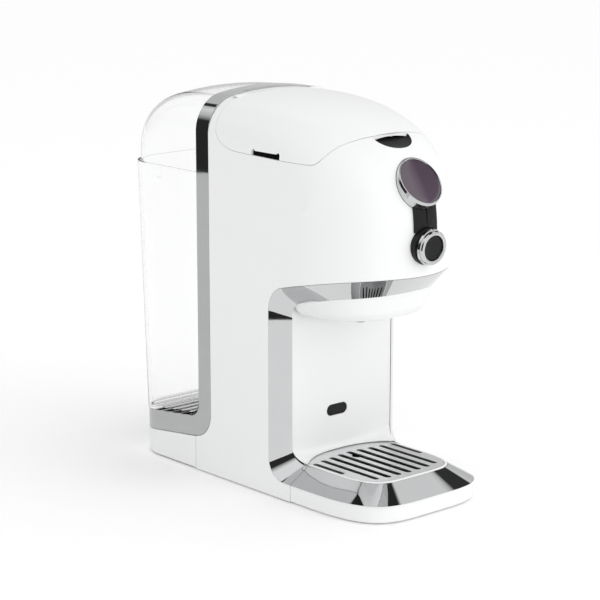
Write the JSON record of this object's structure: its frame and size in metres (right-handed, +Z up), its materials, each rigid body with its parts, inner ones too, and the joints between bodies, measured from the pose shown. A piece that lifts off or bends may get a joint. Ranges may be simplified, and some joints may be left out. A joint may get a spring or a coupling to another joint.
{
  "type": "pod coffee machine",
  "caption": "Upright pod coffee machine with hinged lid, round display, turn-and-press knob, chrome-edged cup bay, pull-out drip tray and clear lift-off rear tank.",
  "frame": {"origin": "centre of the footprint on the surface the machine stands on", "axes": "+Z up, -Y is the front with the knob and tray, +Y the rear with the tank, X across the width"},
  "size_m": [0.135, 0.305, 0.3136],
  "materials": {
    "white_shell": "glossy injection-moulded white",
    "chrome": "mirror-bright plated plastic",
    "black_plastic": "black plastic, semi-gloss",
    "rubber": "moulded rubber",
    "steel": "brushed stainless steel",
    "cast_metal": "die-cast",
    "grey_plastic": "matte grey",
    "clear_tank": "clear moulded plastic, drawn as glass",
    "display_glass": "dark tinted window",
    "board_green": "circuit board laminate",
    "hose_cream": "silicone hose",
    "float_red": "moulded red plastic"
  },
  "bodies": {
    "machine": {"main_casing": "white_shell", "column_panel": "white_shell", "spout_housing": "white_shell", "rear_base": "white_shell", "rear_panel": "white_shell", "bright_trim": "chrome", "tank_band": "chrome", "display_bezel": "chrome", "finger_recess": "black_plastic", "level_window": "black_plastic", "spout_nozzle": "black_plastic", "display_module": "black_plastic", "control_strip": "black_plastic", "knob_collar": "black_plastic", "valve_socket": "black_plastic", "mains_inlet": "black_plastic", "lid_hinge_pin": "steel", "pump_bracket": "steel", "floor_screw_1": "steel", "floor_screw_2": "steel", "floor_screw_3": "steel", "floor_screw_4": "steel", "heater_block": "cast_metal", "brew_chamber": "cast_metal", "knob_encoder": "grey_plastic", "brew_deck": "grey_plastic", "floor_plate": "grey_plastic", "chassis_frame": "grey_plastic", "water_pump": "grey_plastic", "foot_1": "rubber", "foot_2": "rubber", "foot_3": "rubber", "foot_4": "rubber", "display_glass": "display_glass", "control_board": "board_green", "hose_pump_to_heater": "hose_cream", "hose_heater_to_chamber": "hose_cream", "hose_tank_to_pump": "hose_cream"},
    "lid": {"brew_lid": "white_shell", "steam_vent_left": "black_plastic", "steam_vent_right": "black_plastic", "piercing_head": "steel"},
    "knob_shaft": {"knob_stem": "steel"},
    "knob": {"knob_ring": "chrome", "knob_cap": "black_plastic"},
    "pod_carrier": {"pod_holder": "black_plastic"},
    "tray": {"drip_tray": "white_shell", "tray_bezel": "chrome", "tray_foot_1": "rubber", "tray_foot_2": "rubber"},
    "grille": {"drip_grille": "steel"},
    "float": {"drip_float": "float_red"},
    "tank": {"water_tank": "clear_tank", "valve_cage": "clear_tank"},
    "tank_cover": {"tank_lid": "clear_tank", "tank_lid_catch": "clear_tank"},
    "valve": {"tank_valve": "black_plastic", "valve_spring": "steel"}
  },
  "joints": [
    {"name": "lid_hinge", "type": "hinge", "parent": "machine", "child": "lid", "pos_m": [0, 0.0315, 0.3073], "axis": [-1, 0, 0], "range_deg": [0, 70]},
    {"name": "knob_press", "type": "slide", "parent": "machine", "child": "knob_shaft", "axis": [0, 0.9965, 0.0837], "range_m": [0, 0.0009], "stiffness_N_per_m": 900},
    {"name": "knob_turn", "type": "hinge", "parent": "knob_shaft", "child": "knob", "pos_m": [0, -0.1473, 0.2078], "axis": [0, -0.9965, -0.0837], "continuous": true},
    {"name": "pod_lift", "type": "slide", "parent": "machine", "child": "pod_carrier", "axis": [0, 0, 1], "range_m": [0, 0.012]},
    {"name": "tray_slide", "type": "slide", "parent": "machine", "child": "tray", "axis": [0, -1, 0], "range_m": [0, 0.1]},
    {"name": "grille_lift", "type": "slide", "parent": "tray", "child": "grille", "axis": [0, 0, 1], "range_m": [0, 0.03]},
    {"name": "float_rise", "type": "slide", "parent": "tray", "child": "float", "axis": [0, 0, 1], "range_m": [0, 0.006]},
    {"name": "tank_lift", "type": "slide", "parent": "machine", "child": "tank", "axis": [0, 0, 1], "range_m": [0, 0.12]},
    {"name": "tank_cover_lift", "type": "slide", "parent": "tank", "child": "tank_cover", "axis": [0, 0, 1], "range_m": [0, 0.05]},
    {"name": "valve_rise", "type": "slide", "parent": "tank", "child": "valve", "axis": [0, 0, 1], "range_m": [0, 0.003], "stiffness_N_per_m": 80, "deforming": ["valve_spring"]}
  ]
}
